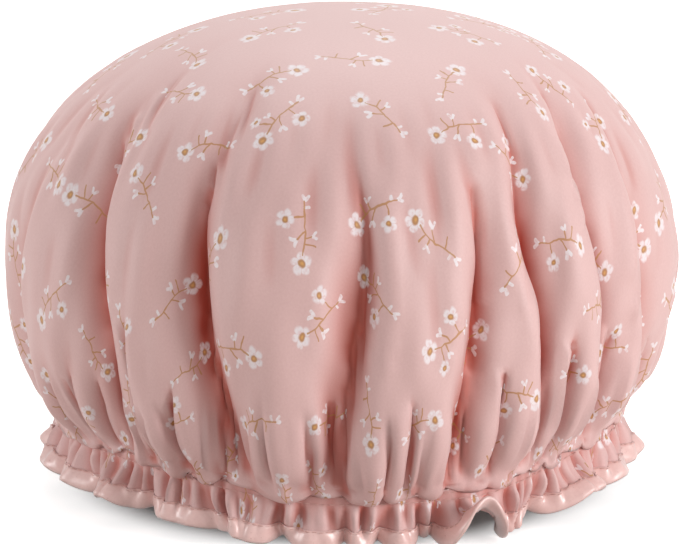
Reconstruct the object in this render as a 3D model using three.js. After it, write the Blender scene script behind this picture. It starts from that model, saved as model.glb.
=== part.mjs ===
// Shower cap: one circle of printed satin over a waterproof film, drawn in by an elastic band that
// runs in a sewn casing. The cloth below the casing is left as a ruffled frill with a bound hem.
// Millimetres, +Z up. The origin is at the centre of the plane that the hem rests on, and the
// forehead side of the opening is at -Y. The rim is built in a front and a back half, because the
// back of the elastic is pulled away from the forehead side to put the cap on.

import * as THREE from "three";

// Puffed crown and wall
const CROWN_DIAMETER = 280;
const CROWN_RISE = 108.7; // widest level up to the top of the crown
const CROWN_FULLNESS = 2.25; // exponent of the crown's superellipse, where 2 is a plain ellipse
const WALL_DROP = 58.5; // widest level down to the gathered edge
const WALL_TUCK = 2; // power of the wall's curve in towards the opening
const SATIN_THICKNESS = 0.6;
const FILM_THICKNESS = 0.4;

// Folds that the elastic draws into the crown and wall, in degrees from the forehead towards +X
const FOLD_ANGLES = [
  -66, -44, -22, 3.5, 36, 49, 63, 86, 108, 131, 155, 182.5, 201, 226, 248, 272,
];
const FOLD_DEPTH = 13; // where they are deepest
const EDGE_FOLD_DEPTH = 8; // at the gathered edge
const FOLD_START = 92; // from the widest level up to where the folds start
const FOLD_FULL = 20; // from the widest level down to where they are deepest
const WALL_FOLD_FADE = 4; // power by which the folds get shallower from there down to the edge
const STEEP_SIDE = 4; // degrees from a fold's bottom to the panel on the side of the forehead
const EASY_SIDE = 10; // degrees from a fold's bottom to the panel on its other side, where there is room
const EASY_SIDE_ROOM = 0.55; // share of the room up to the next fold that the easy side may take
const EASY_SIDE_MIDDLE = 0.45; // where the easy side is bent, as a share of its width
const EASY_SIDE_BEND = 0.5; // share of the depth at that bend
const MIDLINE_REACH = 0.1; // sine of the angle up to which a fold counts as lying on the midline

// Spacing of the ruffles
const SPACING_DRIFT = 0.03; // radians by which ruffles bunch up, in three places
const SPACING_FLUTTER = 0.015; // radians by which they bunch up, in seven places

// Elastic band in its casing
const OPENING_DIAMETER = 223; // clear width inside the casing
const ELASTIC_WIDTH = 8;
const ELASTIC_THICKNESS = 1.2;
const CASING_TAPE = 0.5;

// Frill and bound hem
const FRILL_DROP = 12; // casing down to the top of the binding
const FRILL_FLARE = 4; // mean outward step of the frill from the casing to the binding
const RUFFLE_COUNT = 18;
const RUFFLE_DEPTH = 5.5; // ruffle to each side of that mean, at the binding
const BINDING_WIDTH = 7;
const BINDING_THICKNESS = 0.5;

// Sewing
const SEWN_GAP = 0.3; // clearance between layers that lie on each other
const THREAD_DIAMETER = 0.5;
const STITCH_INSET = 0.7; // from a sewn edge to the middle of its thread
const BARTACK_WIDTH = 2.5;
const BARTACK_LENGTH = 6;

// Fineness of the faceted surfaces
const CROWN_BANDS = 5;
const WALL_BANDS = 3;
const FILM_COLUMNS = 48;
const PANEL_FACET = 9; // degrees that a facet of a panel may span
const RING_STEPS = 36;
const STEPS_PER_RUFFLE = 6;
const THREAD_SIDES = 5;

// Layers of the rim, from the inside outwards
const tapeInner = OPENING_DIAMETER / 2;
const tapeOuter = tapeInner + CASING_TAPE;
const elasticInner = tapeOuter + THREAD_DIAMETER + 2 * SEWN_GAP;
const elasticOuter = elasticInner + ELASTIC_THICKNESS;
const tapeLip = elasticOuter + SEWN_GAP;
const collarInner = tapeLip + SEWN_GAP;
const collarOuter = collarInner + SATIN_THICKNESS;

// Levels, from the hem up
const casingBottom = BINDING_WIDTH + FRILL_DROP;
const elasticBottom = casingBottom + CASING_TAPE + SEWN_GAP;
const elasticTop = elasticBottom + ELASTIC_WIDTH;
const casingTop = elasticTop + SEWN_GAP + CASING_TAPE;
const edgeLevel = casingTop + SEWN_GAP;
const widestLevel = edgeLevel + WALL_DROP;

// Satin and film of the puffed part
const crownRadius = CROWN_DIAMETER / 2;
const edgeRadius = collarOuter + EDGE_FOLD_DEPTH;

const satin = material(0xdcb5ae, 0.45);
const glossySatin = material(0xd9a8a0, 0.25);
const film = material(0xf2e6e4, 0.3);
const tape = material(0xd8b0a8, 0.7);
const elastic = material(0xf4efec, 0.8);
const thread = material(0xe3c0b8, 0.6);

function material(color, roughness) {
  return new THREE.MeshStandardMaterial({ color, roughness, metalness: 0 });
}

// Points of the puffed outline, from the top of the crown down to the gathered edge.
function capOutline() {
  const points = [];
  for (let band = 0; band <= CROWN_BANDS; band += 1) {
    const turn = (band / CROWN_BANDS) * (Math.PI / 2);
    const out = Math.sin(turn) ** (2 / CROWN_FULLNESS);
    const up = Math.max(0, Math.cos(turn)) ** (2 / CROWN_FULLNESS);
    points.push(new THREE.Vector2(crownRadius * out, widestLevel + CROWN_RISE * up));
  }
  for (let band = 1; band <= WALL_BANDS; band += 1) {
    const down = band / WALL_BANDS;
    const radius = crownRadius - (crownRadius - edgeRadius) * down ** WALL_TUCK;
    points.push(new THREE.Vector2(radius, widestLevel - WALL_DROP * down));
  }
  return points;
}

// How deep the folds are at a height.
function foldDepth(height) {
  const above = height - widestLevel;
  if (above > -FOLD_FULL) {
    return FOLD_DEPTH * (1 - THREE.MathUtils.smoothstep(above, -FOLD_FULL, FOLD_START));
  }
  const down = (-above - FOLD_FULL) / (WALL_DROP - FOLD_FULL);
  return FOLD_DEPTH - (FOLD_DEPTH - EDGE_FOLD_DEPTH) * down ** WALL_FOLD_FADE;
}

// Columns of points round the folded cloth, each with the share of the fold's depth that it takes.
// The panels nearer to the forehead lie over the folds beside them.
function foldColumns() {
  const columns = [];
  FOLD_ANGLES.forEach((bottom, i) => {
    const outwards = Math.sin(THREE.MathUtils.degToRad(bottom)) > MIDLINE_REACH ? 1 : -1;
    const neighbour = (i + outwards + FOLD_ANGLES.length) % FOLD_ANGLES.length;
    const away = (FOLD_ANGLES[neighbour] - bottom) * outwards;
    const room = THREE.MathUtils.euclideanModulo(away, 360) - STEEP_SIDE;
    const easy = Math.min(EASY_SIDE, room * EASY_SIDE_ROOM);
    const side = [
      { degrees: bottom - outwards * STEEP_SIDE, sunk: 0 },
      { degrees: bottom, sunk: 1 },
      { degrees: bottom + outwards * easy * EASY_SIDE_MIDDLE, sunk: EASY_SIDE_BEND },
      { degrees: bottom + outwards * easy, sunk: 0 },
    ];
    columns.push(...(outwards > 0 ? side : side.reverse()));
  });
  return rounded(columns).map(({ degrees, sunk }) => ({ angle: fromForehead(degrees), sunk }));
}

// More columns between those that lie far apart, so that wide panels stay round.
function rounded(columns) {
  return columns.flatMap((column, i) => {
    const next = columns[(i + 1) % columns.length];
    const gap = THREE.MathUtils.euclideanModulo(next.degrees - column.degrees, 360);
    const facets = Math.ceil(gap / PANEL_FACET);
    return Array.from({ length: facets }, (_, k) => ({
      degrees: column.degrees + (gap * k) / facets,
      sunk: column.sunk + ((next.sunk - column.sunk) * k) / facets,
    }));
  });
}

// Evenly spaced columns of a film that runs round the cap at the depth of the folds' bottoms.
function evenColumns(count) {
  return Array.from({ length: count }, (_, i) => ({ angle: (2 * Math.PI * i) / count, sunk: 1 }));
}

// An angle about Z, counted from +X, for degrees that are counted from the forehead.
function fromForehead(degrees) {
  return THREE.MathUtils.degToRad(degrees - 90);
}

// The outline moved inwards, square to itself. Its first point stays on the axis and its last point
// stays on the level of the gathered edge.
function insetOutline(outline, depth) {
  const last = outline.length - 1;
  return outline.map((point, i) => {
    const before = outline[Math.max(0, i - 1)];
    const after = outline[Math.min(last, i + 1)];
    const along = after.clone().sub(before).normalize();
    const inwards = new THREE.Vector2(along.y, -along.x);
    if (i === 0) inwards.set(0, -1);
    if (i === last) inwards.set(-1, 0);
    return point.clone().addScaledVector(inwards, depth);
  });
}

// A shell turned about Z between an outer and an inner outline that both start on the axis, and drawn
// in at its folds. Both walls are split along the same diagonals, so that the cloth keeps its thickness.
function turnedShell(outer, inner, columns) {
  const positions = [];
  const indices = [];
  const last = outer.length - 1;
  const count = columns.length;
  const wallSize = 1 + last * count;
  for (const outline of [outer, inner]) {
    positions.push(0, 0, outline[0].y);
    for (const { x, y: height } of outline.slice(1)) {
      for (const { angle, sunk } of columns) {
        const radius = x - sunk * foldDepth(height);
        positions.push(radius * Math.cos(angle), radius * Math.sin(angle), height);
      }
    }
  }
  const corner = (row, column) => (row === 0 ? 0 : 1 + (row - 1) * count + (column % count));
  for (let column = 0; column < count; column += 1) {
    for (let row = 0; row < last; row += 1) {
      const top = corner(row, column);
      const topNext = corner(row, column + 1);
      const low = corner(row + 1, column);
      const lowNext = corner(row + 1, column + 1);
      indices.push(top, low, lowNext, wallSize + top, wallSize + lowNext, wallSize + low);
      if (row === 0) continue;
      indices.push(top, lowNext, topNext, wallSize + top, wallSize + topNext, wallSize + lowNext);
    }
    const edge = corner(last, column);
    const edgeNext = corner(last, column + 1);
    indices.push(edgeNext, edge, wallSize + edge, edgeNext, wallSize + edge, wallSize + edgeNext);
  }
  return indexedGeometry(positions, indices);
}

function indexedGeometry(positions, indices) {
  const geometry = new THREE.BufferGeometry();
  geometry.setAttribute("position", new THREE.Float32BufferAttribute(positions, 3));
  geometry.setIndex(indices);
  geometry.computeVertexNormals();
  return geometry;
}

// Spacing round the cap: ruffles are a little closer in some places than in others.
function uneven(angle) {
  return angle + SPACING_DRIFT * Math.sin(3 * angle) + SPACING_FLUTTER * Math.sin(7 * angle);
}

// Outward swing of the frill at an angle and height: none at the casing, all of it at the binding.
function ruffle(angle, height) {
  const share = THREE.MathUtils.clamp((casingBottom - height) / FRILL_DROP, 0, 1);
  return share * (FRILL_FLARE + RUFFLE_DEPTH * Math.cos(RUFFLE_COUNT * angle));
}

// No swing, for the pieces that follow the elastic.
function level() {
  return 0;
}

// Half of a ring, closed at both ends. The section is a loop of (radius, height) points that turns
// anticlockwise, and each of its points swings outwards by the amount that the function gives. Rising
// and falling faces are split along the same diagonals, as in the turned shells.
function halfRing(section, startAngle, steps, swing) {
  const positions = [];
  const indices = [];
  const count = section.length;
  const trim = SEWN_GAP / 2 / tapeInner;
  const sweep = Math.PI - 2 * trim;
  const angleAt = (step) => startAngle + trim + (sweep * step) / steps;
  const swung = (angle) => section.map(({ x, y }) => new THREE.Vector2(x + swing(angle, y), y));
  for (let step = 0; step <= steps; step += 1) {
    const turn = uneven(angleAt(step));
    for (const { x: radius, y: height } of swung(angleAt(step))) {
      positions.push(radius * Math.cos(turn), radius * Math.sin(turn), height);
    }
  }
  for (let step = 0; step < steps; step += 1) {
    for (let j = 0; j < count; j += 1) {
      const next = (j + 1) % count;
      const a = step * count + j;
      const b = step * count + next;
      const rising = section[next].y >= section[j].y;
      if (rising) indices.push(a, a + count, b, b, a + count, b + count);
      else indices.push(a, a + count, b + count, a, b + count, b);
    }
  }
  const far = steps * count;
  for (const [a, b, c] of THREE.ShapeUtils.triangulateShape(swung(angleAt(0)), [])) {
    indices.push(a, b, c);
  }
  for (const [a, b, c] of THREE.ShapeUtils.triangulateShape(swung(angleAt(steps)), [])) {
    indices.push(far + c, far + b, far + a);
  }
  return indexedGeometry(positions, indices);
}

function loop(...points) {
  return points.map(([radius, height]) => new THREE.Vector2(radius, height));
}

function elasticSection() {
  return loop(
    [elasticInner, elasticBottom],
    [elasticOuter, elasticBottom],
    [elasticOuter, elasticTop],
    [elasticInner, elasticTop],
  );
}

// Tape folded round the elastic, with its two lips sewn to the cloth outside it.
function casingSection() {
  return loop(
    [tapeInner, casingBottom],
    [tapeLip, casingBottom],
    [tapeLip, casingBottom + CASING_TAPE],
    [tapeOuter, casingBottom + CASING_TAPE],
    [tapeOuter, casingTop - CASING_TAPE],
    [tapeLip, casingTop - CASING_TAPE],
    [tapeLip, casingTop],
    [tapeInner, casingTop],
  );
}

// Satin over the outside of the casing and on down to the hem.
function frillSection() {
  const hem = BINDING_THICKNESS + SEWN_GAP;
  return loop(
    [collarInner, hem],
    [collarOuter, hem],
    [collarOuter, BINDING_WIDTH],
    [collarOuter, casingBottom],
    [collarOuter, casingTop],
    [collarInner, casingTop],
    [collarInner, casingBottom],
    [collarInner, BINDING_WIDTH],
  );
}

const bindingOuter = collarOuter + SEWN_GAP + BINDING_THICKNESS;
const bindingInner = collarInner - SEWN_GAP - BINDING_THICKNESS;

// Satin strip folded under the frill's raw edge and up both sides of it.
function bindingSection() {
  return loop(
    [bindingInner, 0],
    [bindingOuter, 0],
    [bindingOuter, BINDING_WIDTH],
    [bindingOuter - BINDING_THICKNESS, BINDING_WIDTH],
    [bindingOuter - BINDING_THICKNESS, BINDING_THICKNESS],
    [bindingInner + BINDING_THICKNESS, BINDING_THICKNESS],
    [bindingInner + BINDING_THICKNESS, BINDING_WIDTH],
    [bindingInner, BINDING_WIDTH],
  );
}

// Round thread that lies on a face of the given radius.
function threadSection(faceRadius, height) {
  const middle = faceRadius + SEWN_GAP + THREAD_DIAMETER / 2;
  const section = [];
  for (let side = 0; side < THREAD_SIDES; side += 1) {
    const turn = (side / THREAD_SIDES) * 2 * Math.PI;
    const out = (THREAD_DIAMETER / 2) * Math.cos(turn);
    const up = (THREAD_DIAMETER / 2) * Math.sin(turn);
    section.push(new THREE.Vector2(middle + out, height + up));
  }
  return section;
}

// Bar of close stitches across the place where the two ends of the elastic are lapped.
function bartack() {
  const round = BARTACK_WIDTH / 2;
  const straight = BARTACK_LENGTH / 2 - round;
  const outline = new THREE.Shape();
  outline.absarc(0, straight, round, 0, Math.PI);
  outline.absarc(0, -straight, round, Math.PI, 2 * Math.PI);
  outline.closePath();
  const geometry = new THREE.ExtrudeGeometry(outline, {
    depth: THREAD_DIAMETER,
    bevelEnabled: false,
    curveSegments: 6,
  });
  return geometry.rotateX(Math.PI / 2);
}

const cap = new THREE.Group();

function add(name, geometry, finish) {
  const mesh = new THREE.Mesh(geometry, finish);
  mesh.name = name;
  cap.add(mesh);
  return mesh;
}

const outline = capOutline();
const satinInside = insetOutline(outline, SATIN_THICKNESS);
const filmOutside = insetOutline(outline, SATIN_THICKNESS + SEWN_GAP);
const filmInside = insetOutline(outline, SATIN_THICKNESS + SEWN_GAP + FILM_THICKNESS);
add("outer_shell", turnedShell(outline, satinInside, foldColumns()), satin);
add("waterproof_lining", turnedShell(filmOutside, filmInside, evenColumns(FILM_COLUMNS)), film);

const ruffleSteps = (RUFFLE_COUNT / 2) * STEPS_PER_RUFFLE;
const upperRow = threadSection(collarOuter, casingTop - STITCH_INSET);
const lowerRow = threadSection(collarOuter, casingBottom + STITCH_INSET);
const bindingRow = threadSection(bindingOuter, BINDING_WIDTH - STITCH_INSET);
const halves = { front: Math.PI, back: 0 };
for (const [half, start] of Object.entries(halves)) {
  add(`elastic_band_${half}`, halfRing(elasticSection(), start, RING_STEPS, level), elastic);
  add(`elastic_casing_${half}`, halfRing(casingSection(), start, RING_STEPS, level), tape);
  add(`frill_${half}`, halfRing(frillSection(), start, ruffleSteps, ruffle), satin);
  add(`hem_binding_${half}`, halfRing(bindingSection(), start, ruffleSteps, ruffle), glossySatin);
  add(`casing_thread_upper_${half}`, halfRing(upperRow, start, RING_STEPS, level), thread);
  add(`casing_thread_lower_${half}`, halfRing(lowerRow, start, RING_STEPS, level), thread);
  add(`binding_thread_${half}`, halfRing(bindingRow, start, ruffleSteps, ruffle), thread);
}

const lapBartack = add("elastic_lap_bartack", bartack(), thread);
lapBartack.position.set(0, elasticInner - SEWN_GAP, (elasticBottom + elasticTop) / 2);

export default cap;
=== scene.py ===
"""Shower cap of printed satin over a waterproof film, gathered on an elastic band, with a bound frill.

The satin is one flat circle of cloth. It is laid over the puffed outline with the folds that the
elastic draws into it, and then its threads are relaxed towards their cut lengths, so that the folds
round off and settle. The lining, casing, elastic, binding and stitches follow that cloth.
Lengths are in metres, and angles round the cap are measured from the forehead side, which is at -Y.
"""
import math

import bpy
import numpy as np
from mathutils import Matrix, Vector


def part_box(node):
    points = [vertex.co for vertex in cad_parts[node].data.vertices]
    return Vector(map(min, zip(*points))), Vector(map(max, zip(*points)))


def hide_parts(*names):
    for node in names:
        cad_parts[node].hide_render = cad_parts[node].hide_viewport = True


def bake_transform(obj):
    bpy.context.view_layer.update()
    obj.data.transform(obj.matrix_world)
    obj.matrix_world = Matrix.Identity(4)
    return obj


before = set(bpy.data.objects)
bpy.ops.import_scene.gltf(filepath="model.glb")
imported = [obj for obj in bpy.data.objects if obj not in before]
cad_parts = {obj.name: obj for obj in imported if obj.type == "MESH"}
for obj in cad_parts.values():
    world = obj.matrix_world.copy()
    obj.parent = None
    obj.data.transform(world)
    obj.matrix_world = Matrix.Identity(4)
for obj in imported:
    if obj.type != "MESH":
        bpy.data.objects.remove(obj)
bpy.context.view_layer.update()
FULL_TURN = 2 * math.pi

# Sizes read from the solids
_, shell_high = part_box("outer_shell")
casing_low, casing_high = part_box("elastic_casing_front")
elastic_low, elastic_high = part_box("elastic_band_front")
_, binding_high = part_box("hem_binding_front")
CROWN_TOP = shell_high.z
CASING_TOP = casing_high.z
CASING_BOTTOM = casing_low.z
CASING_OUTER = casing_high.x
CASING_INNER = CASING_OUTER - 0.0031
COLLAR_RADIUS = CASING_OUTER + 0.0014
ELASTIC_OUTER = elastic_high.x
ELASTIC_INNER = ELASTIC_OUTER - 0.0012
BINDING_WIDTH = binding_high.z

# Puffed outline: the crown leans a little to the right, the wall is tucked in at the right and ends in a
# lip that droops over the casing, and the rim rises at both sides
CROWN_RADIUS = 0.1412
WIDEST_LEVEL = 0.0874
CROWN_FULLNESS = 2.38
CROWN_LEAN = 0.003
WALL_TUCK = 3.2
LIP_RADIUS = 0.1250
LIP_LEVEL = CASING_BOTTOM + 0.0070
LIP_DROOP = 0.0066
LIP_UNEVEN = 0.2
COLLAR_TOP = CASING_BOTTOM + 0.0046
RIM_LIFT = 0.0090
RIGHT_TUCK = 0.0055

# Cloth: its columns and rings, its frill, how far it gives on the bias, and how tightly it gathers
COLUMNS = 440
CROWN_STEP = 0.0050
WALL_STEP = 0.0024
CROWN_ARC = 0.096
FRILL_LENGTH = 0.0179
FRILL_ROWS = 11
BIAS_STRETCH = 1.035
MOST_GATHERED = 1.7
SATIN_THICKNESS = 0.0004

# Relaxing: its passes, puff and stiffness, how far threads give when squeezed, the pull back to a ring's
# level, the limits that points are kept to, and the passes that iron the panels and the lip
RELAX_PASSES = 220
PUFF = 0.000012
HOOP_BEND = 0.03
DOWN_BEND = 0.06
DOWN_GIVE = 0.5
BIAS_GIVE = 0.15
LEVEL_PULL = 0.2
CLOSEST_COLUMNS = 0.10
OUTLINE_SLACK = 0.0008
DEEPEST_INSIDE = 0.026
HEM_CLEARANCE = 0.0008
IRON_PASSES = 12
LIP_PASSES = 2

# Main folds: where each lies on the flat circle, the angle round the cap that the elastic draws it to,
# how far from the crown's top it starts, and its depth as a share of the usual
FOLDS = (
    (-82, -66, 0.090, 1.0), (-56, -44, 0.078, 1.25), (-26, -22, 0.078, 1.0), (0, 3.5, 0.092, 0.8),
    (22, 22, 0.125, 1.0), (38, 36, 0.088, 1.0), (60, 49, 0.092, 1.3), (80, 63, 0.092, 1.2),
    (101, 86, 0.095, 1.2), (119, 108, 0.095, 1.6), (140, 131, 0.082, 1.5), (160, 155, 0.094, 1.6),
    (182, 182.5, 0.100, 1.5), (199, 201, 0.082, 1.6), (220, 226, 0.094, 1.5), (238, 248, 0.088, 1.6),
    (259, 272, 0.100, 1.1),
)
DEEPEST_FOLD = 0.023
HOLLOW_DEPTH = 0.008
SIDE_FOLD_LOSS = 0.35
FOLD_CRISP_SIDE = math.radians(1.4)
FOLD_SOFT_SIDE = math.radians(8.0)
FOLD_WANDER = math.radians(2.6)
FOLD_WANDER_LENGTH = 0.17

# Shallow hollow in the wide front panel: its place on the flat circle, depth and half width
FRONT_HOLLOW = math.radians(14)
FRONT_HOLLOW_DEPTH = 0.003
FRONT_HOLLOW_HALF_WIDTH = math.radians(6)

# Tucks: smaller folds that open inside the panels, lower down. Those of the front have an angle on the
# flat circle and a distance from the crown's top where they open
FRONT_TUCKS = (
    (-69, 0.232), (-47, 0.192), (-37, 0.224), (-20, 0.208), (-9, 0.246),
    (6, 0.243), (13, 0.238), (30, 0.212), (50, 0.205), (70, 0.206),
)
FRONT_TUCKS_END = math.radians(79)
TUCK_DEPTH = 0.013
TUCK_CRISP_SIDE = math.radians(1.1)
TUCK_SOFT_SIDE = math.radians(3.2)

# Gathers: the smallest folds, next to the casing
GATHER_COUNT = 64
GATHER_DEPTH = 0.0065
GATHER_HALF_WIDTH = math.radians(1.2)

# Drag lines: gentle waves down the panels, by their number round the cap and their turns down it
DRAG_LINES = ((31, 3.1), (43, -4.3), (59, 2.2))
DRAG_HEIGHT = 0.0009

# Ruffles of the frill: the angle of the pinch before each one, how far that pinch and the ruffle's crest
# flare from hanging down, in degrees, and how broad the crest is
FRONT_RUFFLES = (
    (-128, -20, 58, 0.7), (-106, -15, 44, 0.7), (-87, -20, 46, 0.6), (-72, -10, 36, 0.6),
    (-58, -30, 50, 0.7), (-41, -45, 22, 0.5), (-27, -15, 20, 0.7), (-10.5, -50, 4, 0.5), (0.5, -50, 2, 0.5),
    (8.3, -50, 6, 0.5), (15.8, -45, -40, 1.0), (19.5, -35, 135, 0.9), (32.3, -40, 8, 0.5),
    (43.5, -45, 60, 0.7), (62, -30, 40, 0.6), (79, -20, 48, 0.6), (98, -25, 54, 0.7),
)
BACK_RUFFLES_START = 122
BACK_RUFFLE_COUNT = 7
RUFFLE_SWAY = math.radians(2.5)
PUCKER = 0.0046
FLUTTER = 8

# Film: it stays clear of the satin, hangs narrower and a little lower
FILM_THICKNESS = 0.00025
FILM_CLEARANCE = 0.0008
FILM_SLACK = 0.0016
FILM_DROP = 0.0012

# Binding: its tape, how far it reaches past the solid's, its half thickness at the stitched edge, how far
# it puffs up below that, and how far its fold stands below the raw edge
BINDING_TAPE = 0.0003
BINDING_REACH = 0.0011
BINDING_EDGE = 0.0005
BINDING_PUFF = 0.0006
BINDING_FOLD = 0.0010
FLOOR_CLEARANCE = 0.0001

# Casing tape, and the ribs of the elastic
CASING_TAPE = 0.0005
ELASTIC_RIB = 0.00012

# Stitches: their length, their spacing and the radius of their thread
STITCH_SIZES = ("Stitch Length", "Stitch Spacing", "Thread Radius")
CASING_STITCH = (0.0026, 0.0034, 0.00020)
BINDING_STITCH = (0.0021, 0.0028, 0.00022)
CASING_THREAD_PROUD = 0.00030
BINDING_THREAD_PROUD = 0.00012

# One printed sprig in millimetres: twigs and buds as strokes, blossoms as centre, size and turn
TWIGS = (
    ((-12, -5.5), (-6.5, -3.4)), ((-6.5, -3.4), (-1, -1.8)), ((-1, -1.8), (4, 0.4)),
    ((4, 0.4), (7.4, 3.2)), ((-6.5, -3.4), (-7.6, 0.8)), ((4, 0.4), (7.2, -3.6)),
    ((-1, -1.8), (0.4, 3.0)), ((1.6, -0.8), (2.4, -3.6)),
)
BUDS = (
    ((0.2, 3.8), (-0.6, 5.8), 0.8), ((0.8, 3.8), (2.2, 5.4), 0.8), ((-12.6, -5.9), (-14.4, -5.6), 0.8),
    ((-12.4, -6.2), (-13.4, -8.0), 0.8), ((2.6, -4.2), (1.6, -5.8), 0.7), ((3.0, -4.2), (4.2, -5.6), 0.7),
    ((-9.4, -4.8), (-9.0, -6.6), 0.7),
)
BLOSSOMS = (((10.0, 5.0), 4.9, 0.3), ((-8.4, 4.8), 4.1, 1.1), ((8.8, -6.0), 3.0, 2.0))
TWIG_WIDTH = 0.36
BLOSSOM_PARTS = ("Petals", "Heart", "Pollen")
SPRIG_SPACING = 0.0395


def rise(value, low, high):
    """Smooth step from 0 at low to 1 at high."""
    share = np.clip((value - low) / (high - low), 0, 1)
    return share * share * (3 - 2 * share)


def drawn_in(arc):
    """Share of the elastic's pull round the cap that has reached the cloth, from the crown down."""
    return rise(arc, 0.05, 0.15)


def rim_lift(turn):
    """How far the rim stands above its level at the forehead and the nape: it rises sooner on the left."""
    side = np.sin(turn)
    return RIM_LIFT * (rise(-side, 0, 0.8) + rise(side, 0.45, 0.88))


def wrapped(angle):
    """The same angle, between half a turn back and half a turn on."""
    return (angle + math.pi) % FULL_TURN - math.pi


def even_turns(columns):
    """Even angles round the cap, one for each column."""
    return np.arange(columns) / columns * FULL_TURN


def closed_round(turns):
    """Angles round the cap, and the first of them again after a full turn."""
    return np.append(turns, turns[0] + FULL_TURN)


def softened(values):
    """Values in columns round the cap, each evened out with those beside it."""
    return (np.roll(values, 1, -1) + 2 * values + np.roll(values, -1, -1)) / 4


def puffed_outline():
    """Arc length, radius and height along the cloth, from the crown's top to the casing's bottom."""
    quarter = np.linspace(0, math.pi / 2, 200)
    power = 2 / CROWN_FULLNESS
    crown_r = CROWN_RADIUS * np.sin(quarter) ** power
    crown_z = WIDEST_LEVEL + (CROWN_TOP - WIDEST_LEVEL) * np.clip(np.cos(quarter), 0, 1) ** power
    down = np.linspace(0, 1, 100)[1:]
    wall_r = CROWN_RADIUS - (CROWN_RADIUS - LIP_RADIUS) * down**WALL_TUCK
    wall_z = WIDEST_LEVEL - (WIDEST_LEVEL - LIP_LEVEL) * down
    under = np.linspace(0, 0.85 * math.pi, 30)[1:]
    lip_r = (LIP_RADIUS + COLLAR_RADIUS) / 2 + (LIP_RADIUS - COLLAR_RADIUS) / 2 * np.cos(under)
    lip_z = LIP_LEVEL - LIP_DROOP * np.sin(under)
    collar_z = np.linspace(COLLAR_TOP, CASING_BOTTOM, 20)
    collar_r = np.full(len(collar_z), COLLAR_RADIUS)
    radius = np.concatenate([crown_r, wall_r, lip_r, collar_r])
    height = np.concatenate([crown_z, wall_z, lip_z, collar_z])
    arc = np.concatenate([[0], np.cumsum(np.hypot(np.diff(radius), np.diff(height)))])
    return arc, radius, height


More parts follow.
